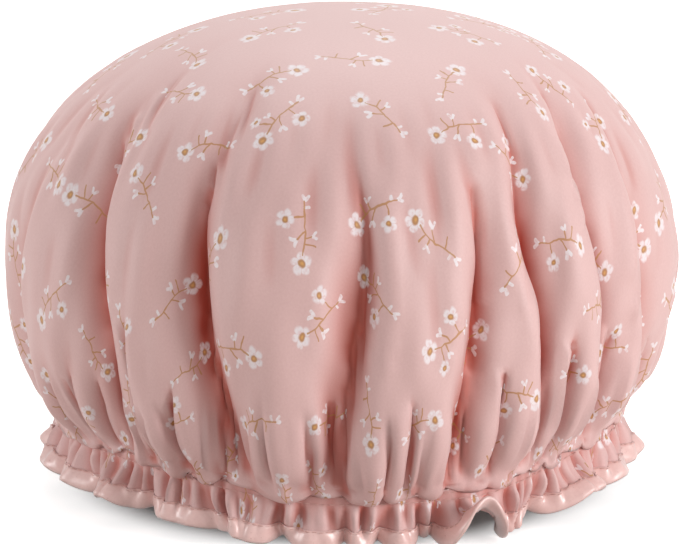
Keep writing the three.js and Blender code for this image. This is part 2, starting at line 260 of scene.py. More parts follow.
class Cloth:
    """The satin circle: rings of points from the crown to the hem, and columns round the cap."""

    def __init__(self):
        self.chance = np.random.default_rng(4)
        arc, radius, height = puffed_outline()
        self.casing_arc = arc[-1]
        self.hem_arc = self.casing_arc + FRILL_LENGTH
        crown = np.arange(CROWN_STEP, CROWN_ARC, CROWN_STEP)
        wall = np.arange(CROWN_ARC, self.casing_arc, WALL_STEP)
        frill = np.linspace(self.casing_arc, self.hem_arc, FRILL_ROWS)
        self.arc = np.concatenate([crown, wall, frill])
        self.radius = np.interp(self.arc, arc, radius)
        self.height = np.interp(self.arc, arc, height)
        self.frill_share = np.clip((self.arc - self.casing_arc) / FRILL_LENGTH, 0, 1)
        self.in_frill = self.frill_share > 0
        collar_arc = self.casing_arc - (COLLAR_TOP - CASING_BOTTOM)
        self.collar = (self.arc > collar_arc - 1e-6) & ~self.in_frill
        self.held = self.collar | self.in_frill | (np.arange(len(self.arc)) < 3)
        self.flat_turn = even_turns(COLUMNS)
        self.plan_folds()
        tucked = rise(self.arc, collar_arc - 0.065, collar_arc - 0.018)
        tucked = (tucked * (1 - rise(self.arc, collar_arc - 0.010, collar_arc)))[:, None]
        self.outline = self.radius[:, None] - RIGHT_TUCK * tucked * np.clip(np.sin(self.turn()), 0, 1) ** 2
        by_casing = 1 - rise(self.height, CASING_TOP + 0.003, CASING_TOP + 0.024)[:, None]
        self.nearest = self.outline - DEEPEST_INSIDE
        self.nearest += by_casing * np.maximum(COLLAR_RADIUS - self.nearest, 0)
        self.rim_share = rise(self.arc, collar_arc - 0.085, collar_arc - 0.012)
        self.dents = self.fold_dents()
        self.level = self.height[:, None] + self.rim_share[:, None] * rim_lift(self.turn())
        self.level += self.lip_bulges(arc[np.argmax(height <= LIP_LEVEL)], collar_arc)
        self.points = self.laid_over()
        self.relax()

    def plan_folds(self):
        """Chooses the main folds, and the angle round the cap that each column is drawn to."""
        flat = np.radians([fold[0] for fold in FOLDS])
        drawn = np.radians([fold[1] for fold in FOLDS])
        past_first = self.flat_turn >= flat[0] + FULL_TURN
        turn = np.where(past_first, self.flat_turn - FULL_TURN, self.flat_turn)
        self.shift = np.interp(turn, closed_round(flat), closed_round(drawn)) - turn
        for _ in range(12):
            self.shift = softened(self.shift)
        self.folds = flat
        self.fold_share = panel_widths(flat)
        self.drawn_share = panel_widths(drawn)

    def turn(self):
        """Angle round the cap of every point: folds drift as the elastic draws them together."""
        return self.flat_turn + drawn_in(self.arc)[:, None] * self.shift

    def crease(self, middle, crisp, soft):
        """Section of a fold: steep on the side towards the forehead, and easy on the other side."""
        outwards = 1 if math.sin(np.mean(middle)) > 0.01 else -1
        away = wrapped(self.flat_turn - middle) * outwards
        steep, easy = np.exp(-((away / crisp) ** 2)), np.exp(-(np.abs(away / soft) ** 1.25))
        return np.where(away < 0, steep, easy)

    def lip_bulges(self, lip_arc, collar_arc):
        """How far the lip stands above its usual droop: it hangs unevenly, and not at all in the folds."""
        along = (self.arc - lip_arc) / (collar_arc - lip_arc)
        straight = LIP_LEVEL + (COLLAR_TOP - LIP_LEVEL) * along
        droop = np.where((along > 0) & (along < 1), straight - self.height, 0)[:, None]
        slot = 0.8 * rise(self.dents[np.argmax(along > 0)], 0.008, 0.016)
        return droop * (slot - LIP_UNEVEN * (1 - slot) * (1 + ripples(COLUMNS, (13, 23, 37), 21)))

    def fold_dents(self):
        """How far each point is drawn inwards from the puffed outline before the cloth relaxes."""
        first_collar = self.arc[self.collar][0]
        unpinched = 1 - rise(self.arc[:, None], first_collar - 0.012, first_collar - 0.001)
        return self.front_hollow() + unpinched * (self.main_folds() + self.tucks() + self.gathers())

    def front_hollow(self):
        """The shallow hollow of the wide front panel."""
        arc = self.arc[:, None]
        away = wrapped(self.flat_turn - FRONT_HOLLOW) / FRONT_HOLLOW_HALF_WIDTH
        opening = rise(arc, 0.10, 0.14) * (1 - rise(arc, 0.17, 0.215))
        return FRONT_HOLLOW_DEPTH * opening * np.exp(-(away**2))

    def main_folds(self):
        """Folds that take up the spare width of the panels beside them, and wander on their way down."""
        arc, radius = self.arc[:, None], self.radius[:, None]
        drawing = drawn_in(arc)
        wander = np.random.default_rng(7)
        dents = 0
        plans = zip(self.folds, FOLDS, self.fold_share, self.drawn_share)
        for middle, (_, _, top, deep), flat, drawn in plans:
            way_down = arc / FOLD_WANDER_LENGTH * FULL_TURN + wander.uniform(0, FULL_TURN)
            path = middle + FOLD_WANDER * rise(arc, 0.09, 0.15) * np.sin(way_down)
            spare = arc * flat / BIAS_STRETCH - radius * (flat + drawing * (drawn - flat))
            hollow = HOLLOW_DEPTH * rise(arc, top, top + 0.025)
            depth = np.clip(0.95 * spare * rise(arc, top, top + 0.05), hollow, DEEPEST_FOLD)
            depth = depth * deep * (1 - SIDE_FOLD_LOSS * math.sin(middle) ** 4)
            depth = depth * (1 + 0.15 * np.sin(1.7 * way_down))
            unformed = 1 - rise(arc, top, top + 0.06)
            crisp = FOLD_CRISP_SIDE * (1 + 2 * unformed)
            soft = np.minimum(FOLD_SOFT_SIDE, 0.36 * flat) * (1 + 0.3 * unformed)
            dents += depth * self.crease(path, crisp, soft)
        return dents

    def tucks(self):
        """Tucks at their places in the front panels, and two in each of the others."""
        arc = self.arc[:, None]
        places = [(math.radians(angle), top) for angle, top in FRONT_TUCKS]
        around = np.sort(closed_round(self.folds))
        for start, end in zip(around, around[1:]):
            if start < FRONT_TUCKS_END:
                continue
            for share in (0.34, 0.68):
                middle = start + (end - start) * (share + self.chance.uniform(-0.06, 0.06))
                places.append((middle, self.chance.uniform(0.195, 0.24)))
        dents = 0
        for middle, top in places:
            crease = self.crease(middle, TUCK_CRISP_SIDE, TUCK_SOFT_SIDE)
            dents += TUCK_DEPTH * rise(arc, top, top + 0.032) * crease
        return dents

    def gathers(self):
        """The smallest folds, scattered round the cap next to the casing."""
        arc = self.arc[:, None]
        dents = 0
        for number in range(GATHER_COUNT):
            middle = (number + self.chance.uniform(-0.35, 0.35)) / GATHER_COUNT * FULL_TURN
            depth = GATHER_DEPTH * self.chance.uniform(0.3, 1.4)
            top = self.casing_arc - self.chance.uniform(0.030, 0.046) - 2.5 * depth
            crease = self.crease(middle, GATHER_HALF_WIDTH, GATHER_HALF_WIDTH)
            dents += depth * rise(arc, top, top + 0.022) * crease
        return dents

    def flare(self):
        """How far the frill turns outwards at each column, from hanging straight down."""
        ruffles = list(FRONT_RUFFLES)
        behind = 360 + FRONT_RUFFLES[0][0] - BACK_RUFFLES_START
        for number in range(BACK_RUFFLE_COUNT):
            along = (number + self.chance.uniform(-0.15, 0.15)) / BACK_RUFFLE_COUNT
            start = BACK_RUFFLES_START + behind * along
            ruffles.append((start, self.chance.uniform(-35, 0), self.chance.uniform(45, 80), 0.7))
        turn = np.degrees(self.turn()[-1])
        flare = np.zeros(COLUMNS)
        for (start, pinch, crest, breadth), after in zip(ruffles, ruffles[1:] + ruffles[:1]):
            width = (after[0] - start) % 360
            along = ((turn - start) % 360) / width
            swell = np.sin(np.clip(along, 0, 1) * math.pi) ** breadth
            base = pinch + np.clip(along, 0, 1) * (after[1] - pinch)
            flare = np.where(along < 1, base + (crest - base) * swell, flare)
        flare = softened(flare)
        return np.radians(flare + FLUTTER * ripples(COLUMNS, (41, 53, 67), 12))

    def laid_over(self):
        """The cloth over the puffed outline, with its folds and its frill, before it relaxes."""
        radius = np.maximum(self.outline - self.dents, self.nearest)
        height = self.level.copy()
        flare = self.flare()
        drop = FRILL_LENGTH / (FRILL_ROWS - 1)
        first = int(np.argmax(self.in_frill))
        for row in range(first, len(self.arc)):
            lean = flare * rise(self.frill_share[row], -0.1, 0.75)
            radius[row] = radius[row - 1] + drop * np.sin(lean)
            height[row] = height[row - 1] - drop * np.cos(lean)
        pleats = (rise(self.frill_share, -0.1, 0.3) * (1 - rise(self.frill_share, 0.35, 1)))[:, None]
        gathered = self.collar | self.in_frill
        radius[gathered] += (PUCKER * pleats * ripples(COLUMNS, (61, 83, 109), 6))[gathered]
        sway = RUFFLE_SWAY * ripples(COLUMNS, (7, 11, 17), 9)
        turn = self.turn() + sway * rise(self.frill_share, 0.1, 1)[:, None]
        height = np.maximum(height, HEM_CLEARANCE)
        return np.stack([radius * np.sin(turn), -radius * np.cos(turn), height], axis=2)

    def relax(self):
        """Draws the threads towards the lengths that cut and folds give them, and rounds the folds."""
        points = self.points
        laid = points.copy()
        gathered = np.clip(self.arc / self.radius / BIAS_STRETCH, 1, MOST_GATHERED)
        laid_step = np.linalg.norm(np.roll(laid, -1, 1) - laid, axis=2)
        even_step = (self.radius * gathered * FULL_TURN / COLUMNS)[:, None]
        around = np.minimum(even_step, mean_beside(laid_step, 20))
        down = np.hypot(np.diff(self.outline, axis=0), np.diff(self.level, axis=0))
        across = np.hypot(down, (around[1:] + around[:-1]) / 2)
        furthest = self.outline + OUTLINE_SLACK
        mean_height = laid[..., 2].mean(1)
        loose = np.where(self.held, 0.0, 1.0)[:, None, None]
        for _ in range(RELAX_PASSES):
            points += PUFF * loose * facing(points)
            points += HOOP_BEND * loose * (np.roll(points, 1, 1) + np.roll(points, -1, 1) - 2 * points)
            bend = points[2:] + points[:-2] - 2 * points[1:-1]
            points[1:-1] += DOWN_BEND * loose[1:-1] * bend
            for parity in (0, 1):
                points = np.roll(points, -parity, 1)
                draw_to_length(points[:, 0::2], points[:, 1::2], around[:, parity::2], 1.0)
                points = np.roll(points, parity, 1)
            points[self.held] = laid[self.held]
            for parity in (0, 1):
                upper, lower = points[parity:-1:2], points[parity + 1 :: 2]
                draw_to_length(upper, lower, down[parity::2], DOWN_GIVE)
            points[self.held] = laid[self.held]
            for slant, slanted in ((1, across), (-1, np.roll(across, 1, 1))):
                for parity in (0, 1):
                    upper = points[parity:-1:2]
                    lower = np.roll(points[parity + 1 :: 2], -slant, 1)
                    draw_to_length(upper, lower, slanted[parity::2], BIAS_GIVE)
                    points[parity + 1 :: 2] = np.roll(lower, slant, 1)
            points[self.held] = laid[self.held]
            self.keep_apart(points, self.nearest, furthest)
            off_level = (mean_height - points[..., 2].mean(1))[:, None]
            points[..., 2] += LEVEL_PULL * loose[..., 0] * off_level
            points[..., 2] = np.maximum(points[..., 2], HEM_CLEARANCE)
            points[self.held] = laid[self.held]
        above_collar = self.arc[self.collar][0] - self.arc
        smooth_panels = (1 - self.creased()) * rise(above_collar, 0.045, 0.085)[:, None]
        iron(points, loose * smooth_panels[..., None], IRON_PASSES)
        near_lip = 1 - rise(above_collar, 0.006, 0.018)
        iron(points, loose * near_lip[:, None, None], LIP_PASSES)
        points += self.drag_lines()[..., None] * facing(points)
        points[..., 0] += CROWN_LEAN * (1 - rise(self.arc, 0.06, 0.17))[:, None]
        self.points = points

    def drag_lines(self):
        """How far gentle waves raise the cloth between the crown and the gathers at the casing."""
        arc = self.arc[:, None]
        down = FULL_TURN * arc / self.casing_arc
        waves = [np.sin(around * self.flat_turn + turns * down) for around, turns in DRAG_LINES]
        reach = rise(arc, 0.085, 0.15) * (1 - rise(arc, self.casing_arc - 0.06, self.casing_arc - 0.025))
        return DRAG_HEIGHT * reach * sum(waves) / len(waves)

    def creased(self):
        """1 at the sharp edges of the folds and tucks, and 0 on the panels between them."""
        bend = np.abs(np.roll(self.dents, -2, 1) + np.roll(self.dents, 2, 1) - 2 * self.dents)
        sharp = rise(bend, 0.0006, 0.0022)
        return np.max([np.roll(sharp, step, 1) for step in (-2, -1, 0, 1, 2)], axis=0)

    def keep_apart(self, points, nearest, furthest):
        """Keeps neighbouring columns in their order, and the cloth between its limits."""
        radius = np.clip(np.hypot(points[..., 0], points[..., 1]), nearest, furthest)
        turn = self.flat_turn + wrapped(np.arctan2(points[..., 0], -points[..., 1]) - self.flat_turn)
        pitch = FULL_TURN / COLUMNS
        for _ in range(2):
            gap = np.roll(turn, -1, 1) - turn
            gap[:, -1] += FULL_TURN
            lack = np.maximum(0, CLOSEST_COLUMNS * pitch - gap) / 2
            turn = turn - lack + np.roll(lack, 1, 1)
        points[..., 0] = radius * np.sin(turn)
        points[..., 1] = -radius * np.cos(turn)


def panel_widths(folds):
    """Half of the two panels beside each fold, as an angle."""
    after = closed_round(folds)[1:]
    before = np.append(folds[-1] - FULL_TURN, folds[:-1])
    return (after - before) / 2


def draw_to_length(one, other, length, squeeze):
    """Moves pairs of points to their cut distance. Pairs that are too close give by squeeze."""
    between = other - one
    now = np.linalg.norm(between, axis=2)
    off = now - length
    off = np.where(off < 0, squeeze * off, off)
    move = between * (off / 2 / np.maximum(now, 1e-9))[..., None]
    one += move
    other -= move


def iron(points, share, passes):
    """Evens out the small wrinkles round the cap, by a share at each point."""
    for _ in range(passes):
        points += share / 2 * ((np.roll(points, 1, 1) + np.roll(points, -1, 1)) / 2 - points)


def facing(points):
    """Outward direction of a grid of rings and columns, at each of its points."""
    along = np.gradient(points, axis=0)
    across = np.roll(points, -1, 1) - np.roll(points, 1, 1)
    out = np.cross(along, across)
    return out / np.maximum(np.linalg.norm(out, axis=2, keepdims=True), 1e-12)


def finer(points):
    """Twice as many columns, on a smooth curve through the ones given."""
    middle = 9 * (points + np.roll(points, -1, 1)) - np.roll(points, 1, 1) - np.roll(points, -2, 1)
    return np.stack([points, middle / 16], axis=2).reshape(len(points), -1, 3)


def in_scene(name, data):
    """A new object in the scene, at the origin."""
    thing = bpy.data.objects.new(name, data)
    bpy.context.scene.collection.objects.link(thing)
    return thing


def new_piece(name, verts, faces, material):
    """A smooth mesh of one material."""
    mesh = bpy.data.meshes.new(name)
    mesh.from_pydata(verts, [], faces)
    mesh.shade_smooth()
    mesh.materials.append(material)
    return in_scene(name, mesh)


def band_faces(rows, columns, closed=False):
    """Quads between rows of points that each run right round the cap."""
    upper = np.arange(rows if closed else rows - 1)[:, None] * columns
    lower = (upper + columns) % (rows * columns)
    column = np.arange(columns)[None, :]
    after = (column + 1) % columns
    quads = np.stack([upper + column, lower + column, lower + after, upper + after], axis=2)
    return quads.reshape(-1, 4)


def domed_sheet(name, outside, thickness, flat_arc, material):
    """A sheet with two faces that closes over the crown, with its flat-cut place as a UV map."""
    rows, columns = outside.shape[:2]
    inside = outside - facing(outside) * thickness
    tops = [outside[0].mean(0), inside[0].mean(0)]
    verts = np.concatenate([outside.reshape(-1, 3), inside.reshape(-1, 3), tops])
    count = rows * columns
    walls = band_faces(rows, columns)
    faces = walls.tolist() + (walls[:, ::-1] + count).tolist()
    for i in range(columns):
        after = (i + 1) % columns
        faces.append((2 * count, i, after))
        faces.append((2 * count + 1, count + after, count + i))
        edge, next_edge = count - columns + i, count - columns + after
        faces.append((edge, count + edge, count + next_edge, next_edge))
    piece = new_piece(name, verts.tolist(), faces, material)
    turn = even_turns(columns)
    flat = np.stack([flat_arc[:, None] * np.sin(turn), -flat_arc[:, None] * np.cos(turn)], axis=2)
    flat = np.concatenate([flat.reshape(-1, 2), flat.reshape(-1, 2), np.zeros((2, 2))])
    reverse = np.concatenate([np.zeros(count), np.ones(count), [0, 1]])
    add_flat_map(piece.data, flat)
    add_values(piece.data, "reverse", reverse)
    return piece


def add_flat_map(mesh, flat):
    """Keeps each point's place on the flat-cut cloth, in metres, as a UV map."""
    corners = np.empty(len(mesh.loops), dtype=np.int32)
    mesh.loops.foreach_get("vertex_index", corners)
    layer = mesh.uv_layers.new(name="flat_cut")
    layer.data.foreach_set("uv", flat[corners].astype(np.float32).ravel())


def add_values(mesh, name, values):
    """Keeps a value for each point, which materials read by its name."""
    layer = mesh.attributes.new(name, "FLOAT", "POINT")
    layer.data.foreach_set("value", np.asarray(values, dtype=np.float32))


def hoop(name, section, lengthwise, material):
    """A closed hoop from a loop of rows, with metres along and across it as a UV map."""
    rows, columns = section.shape[:2]
    faces = band_faces(rows, columns, closed=True)
    piece = new_piece(name, section.reshape(-1, 3).tolist(), faces.tolist(), material)
    steps = np.linalg.norm(np.diff(section, axis=0), axis=2).mean(1)
    girth = np.concatenate([[0], np.cumsum(steps)])
    flat = np.stack(np.broadcast_arrays(lengthwise[None, :], girth[:, None]), axis=2)
    add_flat_map(piece.data, flat.reshape(-1, 2))
    return piece


def turned(radius, height, columns):
    """Rows of points at given radii and heights, which may vary round the cap."""
    turn = even_turns(columns)
    shape = (len(radius), columns)
    radius = np.broadcast_to(np.reshape(radius, (len(radius), -1)), shape)
    height = np.broadcast_to(np.reshape(height, (len(height), -1)), shape)
    return np.stack([radius * np.sin(turn), -radius * np.cos(turn), height], axis=2)


def ripples(columns, waves, seed):
    """Uneven ripple round the cap, between about -1 and 1."""
    chance = np.random.default_rng(seed)
    turn = even_turns(columns)
    total = np.zeros(columns)
    for wave in waves:
        total += np.sin(wave * turn + chance.uniform(0, FULL_TURN))
    return total / len(waves)


def satin_cloth(cloth, material):
    """The satin as a sheet, which also keeps how far its folds and pleats shade it, for painted shade in
    its colour.
    """
    piece = domed_sheet("outer_cloth", cloth.points, SATIN_THICKNESS, cloth.arc, material)
    depth = fold_shade(cloth).ravel()
    add_values(piece.data, "fold_painted_shade", np.concatenate([depth, depth, [0, 0]]))
    return piece


def fold_shade(cloth):
    """Painted shade: how deep in a fold or pleat each point lies, where light reaches it from cloth only,
    for darkening and warming the colour there.
    """
    sunk = cloth.outline - np.hypot(cloth.points[..., 0], cloth.points[..., 1])
    depth = np.clip((sunk - 0.9 * mean_beside(sunk, 18)) / 0.009, 0, 1) ** 1.4
    beside = (np.roll(cloth.points, 4, 1) + np.roll(cloth.points, -4, 1)) / 2 - cloth.points
    hollow = (beside * facing(cloth.points)).sum(2)
    # Painted shade also in narrow creases, where the cloth curves inwards
    depth = np.maximum(depth, np.clip(hollow / 0.0028, 0, 0.8))
    gathered = cloth.collar | cloth.in_frill
    radius = np.hypot(cloth.points[gathered, :, 0], cloth.points[gathered, :, 1])
    painted_pleat_shade = np.clip(0.45 + (mean_beside(radius, 6) - radius) / 0.0022, 0, 1)
    # Painted shade in the pleats at the collar and frill: darkest under the lip, fading towards the hem
    depth[gathered] = painted_pleat_shade * (0.9 - 0.7 * cloth.frill_share[gathered, None])
    return depth


def mean_beside(values, reach):
    """Mean of each value and of those up to a number of columns beside it."""
    return sum(np.roll(values, step, 1) for step in range(-reach, reach + 1)) / (2 * reach + 1)


def round_cap(points):
    """Least radius, and height, of each ring of cloth at even angles round the cap."""
    even = even_turns(COLUMNS)
    radii, heights = [], []
    for ring in points:
        turn = even + wrapped(np.arctan2(ring[:, 0], -ring[:, 1]) - even)
        radius = np.hypot(ring[:, 0], ring[:, 1])
        at_even = np.interp(even, turn, radius, period=FULL_TURN)
        nearest_even = np.rint(turn / FULL_TURN * COLUMNS).astype(int) % COLUMNS
        np.minimum.at(at_even, nearest_even, radius)
        radii.append(at_even)
        heights.append(np.interp(even, turn, ring[:, 2], period=FULL_TURN))
    return np.array(radii), np.array(heights)


def lining_film(cloth, material):
    """Film that hangs inside the satin, slacker than it, and is caught behind the casing tape."""
    rows = np.where(cloth.height > CASING_TOP + 0.001)[0]
    even = even_turns(COLUMNS)
    level = cloth.height[rows, None] + cloth.rim_share[rows, None] * rim_lift(even) - FILM_DROP
    cloth_radius, cloth_level = round_cap(cloth.points[rows])
    cloth_level = np.minimum.accumulate(cloth_level, axis=0)
    columns = zip(level.T, cloth_level.T, cloth_radius.T)
    radius = [np.interp(-film_z, -satin_z, satin_r) for film_z, satin_z, satin_r in columns]
    radius = np.minimum(np.stack(radius, axis=1), cloth_radius)
    inner = radius.copy()
    for step in range(1, 6):
        inner = np.minimum(inner, np.minimum(np.roll(radius, step, 1), np.roll(radius, -step, 1)))
    for _ in range(4):
        inner = softened(inner)
        inner[1:-1] = (inner[:-2] + 2 * inner[1:-1] + inner[2:]) / 4
    inner = np.minimum(inner, radius - FILM_CLEARANCE)
    to_casing = rise(cloth.arc[rows], cloth.arc[rows[-1]] - 0.02, cloth.arc[rows[-1]])[:, None]
    inner = inner * (1 - to_casing) + COLLAR_RADIUS * to_casing
    shrink = 1 - FILM_SLACK / np.maximum(inner, 0.004)
    film = turned((inner * shrink)[::2, ::2], level[::2, ::2], COLUMNS // 2)
    edge_level = CASING_TOP - FILM_DROP + rim_lift(even[::2])
    film = np.concatenate([film, turned([CASING_OUTER + 0.0006], edge_level[None], COLUMNS // 2)])
    flat_arc = np.append(cloth.arc[rows][::2], cloth.arc[rows[-1]] + 0.005)
    mean_radius, mean_level = np.hypot(film[..., 0], film[..., 1]).mean(1), film[..., 2].mean(1)
    length = mean_radius[0] + np.hypot(np.diff(mean_radius), np.diff(mean_level)).sum()
    return domed_sheet("lining_film", film, FILM_THICKNESS, flat_arc, material), length


def hem_binding(cloth, material):
    """Satin strip folded round the frill's raw edge, drawn tight at its stitched upper edge."""
    rows = cloth.arc > cloth.hem_arc - BINDING_WIDTH - BINDING_REACH
    middle = finer(cloth.points[rows])
    out = facing(finer(cloth.points))[rows]
    count, columns = middle.shape[:2]
    to_hem = np.linspace(0, 1, count)[:, None, None]
    puff = (BINDING_EDGE + BINDING_PUFF * np.sin(to_hem * math.pi * 0.8)) * np.ones((1, columns, 1))
    puff *= 1 + 0.2 * ripples(columns, (71, 113, 151), 3)[None, :, None]
    sway = 0.00025 * to_hem * ripples(columns, (59, 97, 127), 5)[None, :, None]
    middle = middle + out * sway
    over = middle[-1] - middle[-2]
    over /= np.linalg.norm(over, axis=1, keepdims=True)
    outer, inner = middle + out * puff, middle - out * puff
    outer_lining = middle + out * (puff - BINDING_TAPE)
    inner_lining = middle - out * (puff - BINDING_TAPE)
    fold = middle[-1:] + over * BINDING_FOLD
    fold_lining = middle[-1:] + over * (BINDING_FOLD - BINDING_TAPE)
    rounds = [outer, fold, inner[::-1], inner_lining, fold_lining, outer_lining[::-1]]
    section = np.concatenate(rounds)
    section[..., 2] = np.maximum(section[..., 2], FLOOR_CLEARANCE)
    return hoop("hem_binding", section, along_ring(middle[-1]), material), outer


def along_ring(ring):
    """Metres along a ring of points, from its first one."""
    steps = np.linalg.norm(np.roll(ring, -1, 0) - ring, axis=1)
    return np.concatenate([[0], np.cumsum(steps)[:-1]])


def casing_tape(material):
    """Tape inside the cloth that makes the elastic's tunnel, puckered by the gathers."""
    columns = 2 * COLUMNS
    pucker = 0.0005 * ripples(columns, (72, 97, 121), 8)
    levels = np.linspace(CASING_BOTTOM, CASING_TOP, 7)
    bulge = np.sin(np.linspace(0, math.pi, 7))[:, None]
    face = CASING_INNER - 0.0004 * bulge + pucker[None, :] * bulge
    back = np.clip(face + CASING_TAPE, None, ELASTIC_INNER - 0.0002)
    edge = np.full(columns, CASING_OUTER)
    low, high = CASING_BOTTOM + CASING_TAPE, CASING_TOP - CASING_TAPE
    radius = np.array([edge, *face, edge, edge, *back[::-1], edge])
    height = np.array([CASING_BOTTOM, *levels, CASING_TOP, high, *np.clip(levels, low, high)[::-1], low])
    lift = rim_lift(even_turns(columns))
    section = turned(radius, height[:, None] + lift, columns)
    return hoop("casing_tape", section[::-1], along_ring(section[1]), material)


def woven_elastic(material):
    """Flat band with a rib for each rubber thread that is woven into it."""
    columns, ribs, points = COLUMNS, 9, 55
    level = np.linspace(elastic_low.z, elastic_high.z, points)
    rib = ELASTIC_RIB * np.abs(np.sin(np.linspace(0, ribs * math.pi, points)))
    face, back = ELASTIC_OUTER - ELASTIC_RIB + rib, ELASTIC_INNER + ELASTIC_RIB - rib
    radius = np.concatenate([face, back[::-1]])
    height = np.concatenate([level, level[::-1]])
    lift = rim_lift(even_turns(columns))
    section = turned(radius[:, None], height[:, None] + lift, columns)
    return hoop("elastic_band", section[::-1], along_ring(section[0]), material)


def stitch_tree():
    """Geometry Nodes that lay one short stitch after another along a guide line."""
    inputs = {"Guide": "Geometry", **dict.fromkeys(STITCH_SIZES, "Float"), "Thread": "Material"}
    tree, given = node_group("stitches", "GeometryNodeTree", inputs, {"Stitches": "Geometry"})
    curve = put(tree, "GeometryNodeMeshToCurve", {"Mesh": given["Guide"]})
    spaced = put(
        tree,
        "GeometryNodeResampleCurve",
        {"Curve": curve.outputs[0], "Length": given["Stitch Spacing"]},
        mode="LENGTH",
    )
    half = calc(tree, "MULTIPLY", given["Stitch Length"], 0.5)
    girth = given["Thread Radius"]
    size = put(tree, "ShaderNodeCombineXYZ", {"X": girth, "Y": girth, "Z": half})
    bead = put(tree, "GeometryNodeMeshUVSphere", {"Segments": 8, "Rings": 6, "Radius": 1.0})
    stitch = put(
        tree, "GeometryNodeTransform", {"Geometry": bead.outputs["Mesh"], "Scale": size.outputs[0]}
    )
    tangent = put(tree, "GeometryNodeInputTangent", {})
    turn = put(tree, "FunctionNodeAlignRotationToVector", {"Vector": tangent.outputs[0]}, axis="Z")
    laid = put(
        tree,
        "GeometryNodeInstanceOnPoints",
        {"Points": spaced.outputs[0], "Instance": stitch.outputs[0], "Rotation": turn.outputs[0]},
    )
    real = put(tree, "GeometryNodeRealizeInstances", {"Geometry": laid.outputs[0]})
    smooth = put(tree, "GeometryNodeSetShadeSmooth", {"Geometry": real.outputs[0]})
    thread = given["Thread"]
    dyed = put(tree, "GeometryNodeSetMaterial", {"Geometry": smooth.outputs[0], "Material": thread})
    put(tree, "NodeGroupOutput", {"Stitches": dyed.outputs[0]})
    return tree


def stitch_row(name, guide, sizes, tree, material):
    """A row of separate stitches along a closed guide line, kept as one plain mesh."""
    count = len(guide)
    mesh = bpy.data.meshes.new(name)
    mesh.from_pydata(guide.tolist(), [(i, (i + 1) % count) for i in range(count)], [])
    line = in_scene(name + "_guide", mesh)
    sewing = line.modifiers.new("sewing", "NODES")
    sewing.node_group = tree
    values = dict(zip(STITCH_SIZES, sizes), Thread=material)
    for item in tree.interface.items_tree:
        if item.in_out == "INPUT" and item.name in values:
            sewing[item.identifier] = values[item.name]
    sewn = line.evaluated_get(bpy.context.evaluated_depsgraph_get())
    stitches = bpy.data.meshes.new_from_object(sewn)
    stitches.name = name
    piece = in_scene(name, stitches)
    bpy.data.objects.remove(line)
    return piece


def thread_rows(cloth, binding_face, tree, material):
    """The two rows that hold the casing, and the row near the binding's upper edge."""
    collar = cloth.points[cloth.collar]
    out = facing(collar)
    edge = binding_face[0] * 0.7 + binding_face[1] * 0.3
    rows = {
        "casing_thread_upper": (collar[0] + out[0] * CASING_THREAD_PROUD, CASING_STITCH),
        "casing_thread_lower": (collar[-1] + out[-1] * CASING_THREAD_PROUD, CASING_STITCH),
        "binding_thread": (edge + facing(binding_face)[0] * BINDING_THREAD_PROUD, BINDING_STITCH),
    }
    return {name: stitch_row(name, guide, sizes, tree, material) for name, (guide, sizes) in rows.items()}


def lap_bartack(material):
    """Close zigzag of thread over the place where the two ends of the elastic are lapped."""
    low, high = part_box("elastic_lap_bartack")
    strands, sides, radius, slant, bow = 28, 6, 0.00016, 0.0002, 0.00012
    verts, faces = [], []
    depth = (low.y + high.y) / 2
    for strand in range(strands):
        up = low.z + (high.z - low.z) * (strand + 0.5) / strands
        lean = slant if strand % 2 else -slant
        path = [(low.x, depth, up - lean), (0, depth - bow, up), (high.x, depth, up + lean)]
        first = len(verts)
        for x, y, z in path:
            for side in range(sides):
                turn = side / sides * FULL_TURN
                verts.append((x, y + radius * math.cos(turn), z + radius * math.sin(turn)))
        for step in range(2):
            for side in range(sides):
                after = (side + 1) % sides
                a, b = first + step * sides, first + (step + 1) * sides
                faces.append((a + side, a + after, b + after, b + side))
        faces.append(tuple(first + side for side in reversed(range(sides))))
        faces.append(tuple(first + 2 * sides + side for side in range(sides)))
    return new_piece("elastic_bartack", verts, faces, material)


def put(tree, kind, inputs, **settings):
    """Adds a node, sets its options and fills its inputs with values or links."""
    node = tree.nodes.new(kind)
    for key, value in settings.items():
        setattr(node, key, value)
    for key, value in inputs.items():
        if isinstance(value, bpy.types.NodeSocket):
            tree.links.new(value, node.inputs[key])
        else:
            node.inputs[key].default_value = value
    return node


def node_group(name, kind, inputs, outputs):
    """A group of nodes with sockets of the kinds named, and what its inputs give."""
    tree = bpy.data.node_groups.new(name, kind)
    for in_out, sockets in (("INPUT", inputs), ("OUTPUT", outputs)):
        for socket, value in sockets.items():
            tree.interface.new_socket(socket, in_out=in_out, socket_type="NodeSocket" + value)
    return tree, tree.nodes.new("NodeGroupInput").outputs


def calc(tree, operation, first, second=0.0, third=0.0):
    """Result of one operation on values or sockets."""
    inputs = {0: first, 1: second, 2: third}
    return put(tree, "ShaderNodeMath", inputs, operation=operation).outputs[0]


def vector_calc(tree, operation, first, second=(0, 0, 0)):
    """Result of one operation on vectors or sockets."""
    node = put(tree, "ShaderNodeVectorMath", {0: first, 1: second}, operation=operation)
    return node.outputs["Value" if operation in ("LENGTH", "DOT_PRODUCT") else "Vector"]


def ramp(tree, value, start, end):
    """Smooth step from 0 at start to 1 at end."""
    inputs = {"Value": value, "From Min": start, "From Max": end}
    return put(tree, "ShaderNodeMapRange", inputs, interpolation_type="SMOOTHSTEP").outputs[0]


def mixed(tree, share, one, other):
    """One colour turned into another by a share."""
    return put(tree, "ShaderNodeMix", {0: share, 6: one, 7: other}, data_type="RGBA").outputs[2]


def colour(red, green, blue):
    """An sRGB colour of 0 to 255 as linear light."""
    shares = [value / 255 for value in (red, green, blue)]
    linear = [s / 12.92 if s <= 0.04045 else ((s + 0.055) / 1.055) ** 2.4 for s in shares]
    return (*linear, 1.0)


